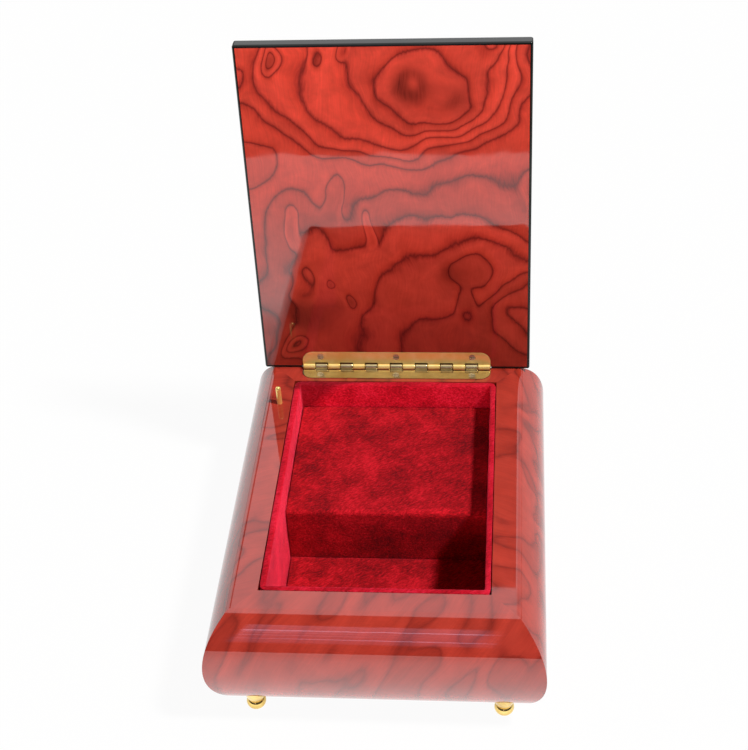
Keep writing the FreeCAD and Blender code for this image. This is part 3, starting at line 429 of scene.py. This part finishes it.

# Painted shade darkens the velvet colour on top of the walls, which the high sun lights most; the colour is
# also darker in the left corner of the back wall.
left_low, left_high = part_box("liner_left")
right_low, right_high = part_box("liner_right")
front_low, front_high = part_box("liner_front")
back_low, back_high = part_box("liner_back")
corner_way = Vector((-1.0, 6.0, 0.9))
corner_reach = corner_way.dot((back_low.x, back_low.y, back_high.z))
painted_top_shade_and_dark_corner = [
    ((0.0, 0.0, 1.0), back_high.z - 0.0016, back_high.z - 0.0003, 0.66),
    (corner_way, corner_reach - 0.0190, corner_reach - 0.0120, 0.46),
]
# The walls wear a lighter copy of the deck's velvet: painted light standing in for the sun and the sheen
# that brighten them.
wall_velvet = crimson_velvet(
    "wall_nap_painted_lighter",
    deep=srgb(0.66, 0.03, 0.10),
    middle=srgb(0.87, 0.07, 0.17),
    light=srgb(1.0, 0.16, 0.28),
    painted_light_and_shade=painted_top_shade_and_dark_corner,
)


sharp_angle = 0.9
touching = 0.0001
quilt_step = 0.003


def new_piece(name, bm, material, body):
    mesh = bpy.data.meshes.new(name)
    bmesh.ops.recalc_face_normals(bm, faces=bm.faces[:])
    for face in bm.faces:
        face.smooth = True
    for edge in bm.edges:
        edge.smooth = edge.calc_face_angle(0.0) < sharp_angle
    bm.to_mesh(mesh)
    bm.free()
    mesh.materials.append(material)
    piece = bpy.data.objects.new(name, mesh)
    bpy.context.scene.collection.objects.link(piece)
    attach(piece, body)
    return piece


def board(low, high):
    bm = bmesh.new()
    bmesh.ops.create_cube(bm, size=1.0)
    bmesh.ops.scale(bm, vec=high - low, verts=bm.verts[:])
    bmesh.ops.translate(bm, vec=(low + high) / 2, verts=bm.verts[:])
    return bm


def round_over(bm, edges, radius, segments):
    bmesh.ops.bevel(
        bm,
        geom=edges,
        offset=radius,
        segments=segments,
        profile=0.5,
        affect="EDGES",
        material=-1,
        clamp_overlap=True,
    )


def slice_through(bm, at, normal):
    everything = bm.verts[:] + bm.edges[:] + bm.faces[:]
    bmesh.ops.bisect_plane(bm, geom=everything, plane_co=at, plane_no=normal)


def quilt(bm, low, high):
    for axis in range(3):
        normal = Vector((0, 0, 0))
        normal[axis] = 1.0
        count = int((high[axis] - low[axis]) / quilt_step)
        for turn in range(1, count):
            at = low.copy()
            at[axis] = low[axis] + (high[axis] - low[axis]) * turn / count
            slice_through(bm, at, normal)


def soften(bm, seed, sink):
    bm.normal_update()
    shifts = []
    for vert in bm.verts:
        swell = noise.noise(vert.co * 45.0 + Vector((seed, 0, 0))) + 0.5 * noise.noise(vert.co * 140.0)
        shifts.append(vert.normal * (swell - 1.5) * sink)
    for vert, shift in zip(bm.verts, shifts):
        vert.co += shift


def new_verts(result):
    return [v for v in result["geom"] if isinstance(v, bmesh.types.BMVert)]


def top_edges(bm, height):
    return [e for e in bm.edges if all(v.co.z > height - touching for v in e.verts)]


def wrap(name, bm, nap, nodes):
    piece = new_piece(name, bm, nap, "base")
    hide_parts(*nodes)
    return piece


cloth_thickness = 0.0002
wall_thickness = left_high.x - left_low.x + cloth_thickness
corner_round, inner_round, outer_round = 0.0036, 0.0014, 0.0007
swell_out = Vector((0.00025, 0.00025, 0.0))
ring_low = left_low - swell_out
ring_high = Vector((right_high.x, left_high.y, left_high.z)) + swell_out
ring_middle = (ring_low + ring_high) / 2
bm = bmesh.new()
bmesh.ops.create_grid(bm, x_segments=1, y_segments=1, size=0.5)
bmesh.ops.scale(bm, vec=ring_high - ring_low, verts=bm.verts[:])
bmesh.ops.translate(bm, vec=(ring_middle.x, ring_middle.y, ring_high.z), verts=bm.verts[:])
bmesh.ops.bevel(
    bm, geom=bm.verts[:], offset=corner_round, segments=6, profile=0.5, affect="VERTICES", material=-1
)
opening = bm.faces[:]
bmesh.ops.inset_region(
    bm, faces=opening, thickness=wall_thickness, use_even_offset=True, use_boundary=True
)
bmesh.ops.delete(bm, geom=opening, context="FACES_ONLY")
sides = bmesh.ops.extrude_edge_only(bm, edges=[e for e in bm.edges if e.is_boundary])
bmesh.ops.translate(bm, vec=(0, 0, ring_low.z - ring_high.z), verts=new_verts(sides))
bmesh.ops.bridge_loops(bm, edges=[e for e in bm.edges if e.is_boundary])


def over_opening(edge):
    middle = (edge.verts[0].co + edge.verts[1].co) / 2
    beside = abs(middle.x) < right_low.x + cloth_thickness
    return beside and front_high.y - cloth_thickness < middle.y < back_low.y + cloth_thickness


def top_rims(bm):
    return [e for e in top_edges(bm, ring_high.z) if e.calc_face_angle(0.0) > 1.2]


round_over(bm, [e for e in top_rims(bm) if over_opening(e)], inner_round, 5)
round_over(bm, [e for e in top_rims(bm) if not over_opening(e)], outer_round, 3)
quilt(bm, ring_low, ring_high)
soften(bm, 7.0, 0.00022)
wrap("wall_velvet", bm, wall_velvet, ["liner_left", "liner_right", "liner_front", "liner_back"])

nose_round = 0.0022
riser_low, riser_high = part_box("riser")
bm = board(deck_low, deck_high)
slice_through(bm, riser_high, (0, 1, 0))
tab = [f for f in bm.faces if f.normal.z < -0.9 and f.calc_center_median().y < riser_high.y]
drop = bmesh.ops.extrude_face_region(bm, geom=tab)
bmesh.ops.delete(bm, geom=tab, context="FACES_ONLY")
bmesh.ops.translate(bm, vec=(0, 0, riser_low.z - deck_low.z), verts=new_verts(drop))
deck_front = deck_low.y + touching
nose = [e for e in top_edges(bm, deck_high.z) if all(v.co.y < deck_front for v in e.verts)]
round_over(bm, nose, nose_round, 6)
quilt(bm, Vector((deck_low.x, deck_low.y, riser_low.z)), deck_high)
soften(bm, 31.0, 0.00025)
wrap("deck_velvet", bm, deck_velvet, ["deck", "riser"])

floor_round = 0.0008
floor_low, floor_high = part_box("well_floor")
bm = board(floor_low, floor_high)
round_over(bm, top_edges(bm, floor_high.z), floor_round, 3)
quilt(bm, floor_low, floor_high)
soften(bm, 43.0, 0.0002)
wrap("well_floor_velvet", bm, deck_velvet, ["well_floor"])

# Hinge
# A brass piano hinge of rolled strip: fifteen knuckles on a brass pin, leaves with rounded corners
# let into the rim and the lid, held by slotted countersunk screws.
# The lid leaf and the pin wear a lighter, partly non-metallic copy of the brass, and the rim leaf a darker
# one: painted light and shade standing in for what the two leaves reflect.
hinge_brass_painted_lighter = metal(
    "hinge_brass_painted_lighter",
    dark=srgb(0.96, 0.80, 0.46),
    bright=srgb(1.0, 0.88, 0.58),
    shine=0.12,
    matt=0.18,
    stretch=(60.0, 2500.0, 2500.0),
    depth=0.0000004,
    body=0.62,
)
dress(hinge_brass_painted_lighter, "hinge_lid_leaf", "hinge_pin")
rim_leaf_brass_painted_darker = metal(
    "rim_leaf_brass_painted_darker",
    dark=srgb(0.71, 0.63, 0.46),
    bright=srgb(0.81, 0.74, 0.56),
    shine=0.12,
    matt=0.22,
    stretch=(60.0, 2500.0, 2500.0),
    depth=0.000001,
)
dress(rim_leaf_brass_painted_darker, "hinge_rim_leaf")
screw_brass = metal(
    "screw_brass",
    dark=srgb(0.72, 0.67, 0.56),
    bright=srgb(0.86, 0.81, 0.68),
    shine=0.20,
    matt=0.34,
    stretch=(2500.0, 2500.0, 2500.0),
    depth=0.000002,
    body=0.75,
)
dress(screw_brass, "hinge_rim_screws", "hinge_lid_screws")

# Lid
# A flat fibre board with slightly rounded edges, sprayed black and polished, with a sheet of burl
# veneer under clear lacquer on both faces. Its rear edge stands close above the rim when open.
black_lacquer, tree, surface, place = new_finish("black_lacquer")
depth = cloud(tree, place, 40.0, 2.0)["Fac"]
dust = cloud(tree, place, 900.0, 2.0, 0.7)["Fac"]
lacquer_colour = ramp(tree, depth, [(0.3, srgb(0.05, 0.055, 0.05)), (0.7, srgb(0.09, 0.10, 0.085))])
lacquer_gloss = span(tree, dust, 0.3, 0.8, 0.04, 0.10)
swell = bump(tree, 1.0, 0.00004, depth)
join(tree, surface, {"Base Color": lacquer_colour, "Roughness": lacquer_gloss, "IOR": 1.4, "Normal": swell})


def merged_copy(node):
    bm = bmesh.new()
    bm.from_mesh(cad[node].data)
    bmesh.ops.transform(bm, matrix=cad[node].matrix_world, verts=bm.verts[:])
    bmesh.ops.remove_doubles(bm, verts=bm.verts[:], dist=0.000001)
    return bm


lid_up = Vector((0.0, 0.0698, 0.9976))
rear_edge_reach, rear_edge_drop = 0.0680, 0.00027
bm = merged_copy("lid_core")
rear_edge = [v for v in bm.verts if v.co.dot(lid_up) < rear_edge_reach]
bmesh.ops.translate(bm, vec=lid_up * -rear_edge_drop, verts=rear_edge)
lid_board = new_piece("lid_board", bm, black_lacquer, "lid")
lid_board.modifiers.new("flat_faces", "WEIGHTED_NORMAL").keep_sharp = True
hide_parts("lid_core")

# Each row gives the place across and up the lid, the reach both ways in millimetres, the rise in
# rings or in darkness, and how flat the top is.
lid_eyes = [
    (18, 142, 22, 20, 1.0, 3.0),
    (18, 147, 33, 30, 1.0, 3.0),
    (8, 149, 47, 35, 1.0, 4.0),
    (2, 151, 58, 41, 1.0, 5.0),
    (0, 154, 64, 47, 1.0, 6.0),
    (-48, 156, 4.5, 9, 1.0, 2.0),
    (-48, 156, 2.2, 5, 1.0, 1.5),
    (-30, 160, 4, 8, 1.0, 2.0),
    (-16, 162, 3.5, 6, 1.0, 2.0),
    (47, 166, 13, 11, 1.0, 2.0),
    (48, 167, 7, 6, 1.0, 2.0),
    (-65, 147, 7, 10, 1.0, 2.0),
    (60, 30, 125, 74, 1.0, 6.0),
    (-25, 93, 4.6, 14, 1.0, 3.0),
    (-43, 72, 16, 25, 1.0, 4.0),
    (-44, 79, 3.6, 11, 1.0, 2.0),
    (-63, 109, 15, 11, 1.0, 3.0),
    (68, 96, 8, 9, 1.0, 2.0),
    (25, 4, 78, 82, 1.0, 6.0),
    (-10, 78, 2.6, 9, 1.0, 2.0),
    (36, 21, 52, 50, 1.0, 5.0),
    (37, 56, 9.5, 10, 1.0, 2.5),
    (33, 35, 6.5, 12, 1.0, 2.0),
    (-41, 46, 5, 11, 1.0, 2.0),
    (-28, 48, 2.2, 3.2, 1.0, 1.5),
    (-21, 37, 2.6, 5.5, 1.0, 1.5),
    (-47, 13, 7, 8, 1.0, 2.0),
    (-47, 13, 3.5, 4, 1.0, 1.5),
    (67, 30, 23, 23, 1.0, 4.0),
    (67, 33, 14, 15, 1.0, 3.0),
    (44, 2, 47, 33, 1.0, 4.0),
]
lid_smudges = [
    (12, 144, 7.5, 8, 0.60, 2.0),
    (13, 145, 2.6, 3.6, -0.58, 1.0),
    (29, 139, 5, 6, 0.42, 1.0),
    (18, 142, 20, 18, 0.16, 3.0),
    (-48, 154, 2.5, 6, 0.35, 1.0),
    (-30, 158, 2.2, 4.5, 0.35, 1.0),
    (27, 54, 6, 9, 0.46, 1.0),
    (-40, 28, 14, 9, 0.54, 1.5),
    (-28, 80, 4, 6, 0.22, 1.0),
    (-21, 37, 1.6, 3.5, 0.35, 1.0),
    (-28, 48, 1.2, 2.0, 0.30, 1.0),
]
# The inner veneer's tone ramp is painted light: its colour runs from 0.33 times at the hinge edge to 1.28
# times at the top, for light that falls more on the upper lid.
lid_burl = lacquered_burl(
    "burl_lid_inner",
    along=(1, 0, 0),
    down=lid_up,
    start=(0.0, -68.0, 0.0),
    wander=1.4,
    contrast=0.95,
    tone_ramp=(68.0, 228.0, 0.33, 1.28),
    eyes=lid_eyes,
    smudges=lid_smudges,
)
dress(lid_burl, "lid_inner_veneer")
outer_burl = lacquered_burl(
    "burl_lid_outer",
    along=(-1, 0, 0),
    down=lid_up,
    start=(6.0, -60.0, 300.0),
    wander=2.6,
    contrast=0.9,
    tone_ramp=(68.0, 228.0, 0.62, 0.70),
    eyes=lid_eyes,
    smudges=lid_smudges,
)
dress(outer_burl, "lid_outer_veneer")

# Stop pin, lever and spring
# A polished brass pin through the rim, which the closing lid presses down: it tips a stamped lever
# whose arm catches the fan, and a wire spring lifts it again.
pin_brass = metal(
    "pin_brass",
    dark=srgb(0.92, 0.78, 0.42),
    bright=srgb(1.0, 0.88, 0.56),
    shine=0.07,
    matt=0.14,
    stretch=(3000.0, 3000.0, 3000.0),
    depth=0.0000006,
    body=0.66,
)
dress(pin_brass, "stop_pin")
dress(clock_brass, "stop_lever")
dress(turned_steel, "lever_screw")
spring_wire = new_piece("spring_wire", merged_copy("return_spring"), turned_steel, "base")
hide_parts("return_spring")
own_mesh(spring_wire)

# Floor and light
# A plain white table that ends in front of the box, lit by a high sun from the right, a soft lamp in
# front and a pale room. The table and the room are white to the camera and in the lacquer.
table_half_width, table_half_depth, table_middle = 0.9, 0.612, 0.288
bm = bmesh.new()
bmesh.ops.create_grid(bm, x_segments=8, y_segments=8, size=1.0)
bmesh.ops.scale(bm, vec=(table_half_width, table_half_depth, 1.0), verts=bm.verts[:])
bmesh.ops.translate(bm, vec=(0.0, table_middle, 0.0), verts=bm.verts[:])
table_mesh = bpy.data.meshes.new("table")
bm.to_mesh(table_mesh)
bm.free()
table_white, tree, surface, place = new_finish("table_white")
join(tree, surface, {"Base Color": srgb(0.90, 0.90, 0.90), "Roughness": 0.8})
sight = add(tree, "LightPath")
spot = add(tree, "SeparateXYZ", {"Vector": place})
near_front = span(tree, spot["Y"], -0.26, -0.11, 0.0, 0.75)
near = calc(tree, "MULTIPLY", near_front, span(tree, spot["Y"], -0.07, -0.10))
near = calc(tree, "SUBTRACT", near, span(tree, spot["X"], 0.07, 0.13, 0.0, 0.45))
glow = calc(tree, "MULTIPLY_ADD", near, sight["Is Glossy Ray"], 1.0)
paper = add(tree, "Emission", {"Color": (1.0, 1.0, 1.0, 1.0), "Strength": glow})["Emission"]
mirrored_ray = calc(tree, "MAXIMUM", sight["Is Glossy Ray"], sight["Is Transmission Ray"])
seen = calc(tree, "MAXIMUM", sight["Is Camera Ray"], mirrored_ray)
veil = calc(tree, "MULTIPLY", seen, 0.95)
plain = tree.nodes["Principled BSDF"].outputs[0]
shader = add(tree, "MixShader", {0: veil, 1: plain, 2: paper})["Shader"]
underneath = add(tree, "NewGeometry")["Backfacing"]
clear = add(tree, "BsdfTransparent")["BSDF"]
shader = add(tree, "MixShader", {0: underneath, 1: shader, 2: clear})["Shader"]
join(tree, tree.nodes["Material Output"].inputs, {"Surface": shader})
table_mesh.materials.append(table_white)
table = bpy.data.objects.new("table", table_mesh)
bpy.context.scene.collection.objects.link(table)

room = bpy.data.worlds.new("room")
room.use_nodes = True
bpy.context.scene.world = room
tree = room.node_tree
parts = add(tree, "SeparateXYZ", {"Vector": add(tree, "TexCoord")["Generated"]})
height = span(tree, parts["Z"], -1.0, 1.0)
front_room = ramp(
    tree,
    height,
    [
        (0.0, (0.02, 0.02, 0.02, 1)),
        (0.50, (0.04, 0.04, 0.05, 1)),
        (0.84, (0.06, 0.06, 0.06, 1)),
        (0.89, (1.15, 1.18, 1.22, 1)),
        (1.0, (1.2, 1.22, 1.25, 1)),
    ],
)
slat_x = calc(tree, "MULTIPLY", parts["X"], 1.6)
slat_z = calc(tree, "MULTIPLY", parts["Z"], 26.0)
slat_place = add(tree, "CombineXYZ", {"X": slat_x, "Z": slat_z})["Vector"]
slats = span(tree, cloud(tree, slat_place, 1.0, 2.0, 0.5)["Fac"], 0.56, 0.70, 0.62, 5.0)
window_band = ramp(
    tree,
    height,
    [
        (0.51, (0, 0, 0, 1)),
        (0.53, (0.5, 0.43, 0.66, 1)),
        (0.70, (1, 0.86, 1.2, 1)),
        (0.72, (0, 0, 0, 1)),
    ],
)
slanted = calc(tree, "MULTIPLY_ADD", parts["Z"], -0.04, parts["X"])
left_end = span(tree, slanted, -0.186, -0.182)
right_end = span(tree, parts["X"], -0.012, -0.022)
slats = calc(tree, "MULTIPLY", slats, calc(tree, "MULTIPLY", left_end, right_end))
streaks = mix(tree, "MULTIPLY", 1.0, window_band, slats)
front_room = mix(tree, "ADD", 1.0, front_room, streaks)
rear_room = ramp(tree, height, [(0.49, (0.03, 0.03, 0.03, 1)), (0.51, (1.2, 1.22, 1.25, 1))])
dim_right = span(tree, parts["X"], 0.1, 0.5)
rear_room = mix(tree, "MULTIPLY", dim_right, rear_room, (0.55, 0.52, 0.52, 1.0))
door = calc(tree, "MULTIPLY", span(tree, parts["X"], -0.50, -0.44), span(tree, parts["X"], -0.24, -0.28))
rear_room = mix(tree, "MULTIPLY", door, rear_room, (0.12, 0.10, 0.10, 1.0))
mirrored = mix(tree, "MIX", span(tree, parts["Y"], -0.15, 0.15), front_room, rear_room)
fill = ramp(
    tree,
    height,
    [
        (0.49, (0.05, 0.05, 0.05, 1)),
        (0.52, (0.76, 0.76, 0.77, 1)),
        (0.66, (0.76, 0.76, 0.77, 1)),
        (0.76, (0.05, 0.05, 0.055, 1)),
        (1.0, (0.03, 0.03, 0.035, 1)),
    ],
)
sight = add(tree, "LightPath")
lit = mix(tree, "MIX", sight["Is Glossy Ray"], fill, mirrored)
lit = mix(tree, "MIX", sight["Is Camera Ray"], lit, (1.0, 1.0, 1.0, 1.0))
join(tree, tree.nodes["Background"].inputs, {"Color": lit, "Strength": 1.0})


def facing(way):
    return way.normalized().to_track_quat("Z", "Y").to_matrix().to_4x4()


sun_lamp = bpy.data.lights.new("sun", "SUN")
sun_lamp.energy = 3.45
sun_lamp.angle = math.radians(7.0)
sun_lamp.color = (1.0, 0.98, 0.95)
sun = bpy.data.objects.new("sun", sun_lamp)
sun.matrix_world = facing(Vector((0.515, -0.15, 0.857)))
bpy.context.scene.collection.objects.link(sun)

window_lamp = bpy.data.lights.new("window", "AREA")
window_lamp.shape = "RECTANGLE"
window_lamp.size = 1.4
window_lamp.size_y = 0.5
window_lamp.energy = 3.6
window = bpy.data.objects.new("window", window_lamp)
window_place, window_aim = Vector((0.1, -1.1, 0.45)), Vector((0.0, 0.0, 0.12))
window.matrix_world = Matrix.Translation(window_place) @ facing(window_place - window_aim)
window.visible_glossy = False
bpy.context.scene.collection.objects.link(window)

# Camera
# It stands where the photograph was taken from, in front of the box and well above it, with its
# place, turn and lens fitted to the corners of the rim, the opening and the lid.
yaw, pitch, roll = math.radians(6.80), math.radians(39.26), math.radians(-3.92)
camera_place = Vector((0.05779, -0.50242, 0.53295))
ahead = Vector((-math.sin(yaw) * math.cos(pitch), math.cos(yaw) * math.cos(pitch), -math.sin(pitch)))
level = Vector((math.cos(yaw), math.sin(yaw), 0.0))
upward = level.cross(ahead)
across = math.cos(roll) * level + math.sin(roll) * upward
overhead = -math.sin(roll) * level + math.cos(roll) * upward
lens = bpy.data.cameras.new("camera")
lens.sensor_width = 36.0
lens.lens = 74.76
lens.clip_start = 0.01
camera = bpy.data.objects.new("camera", lens)
camera_turn = Matrix((across, overhead, -ahead)).transposed().to_4x4()
camera.matrix_world = Matrix.Translation(camera_place) @ camera_turn
bpy.context.scene.collection.objects.link(camera)
bpy.context.scene.camera = camera
bpy.context.scene.view_settings.view_transform = "Standard"
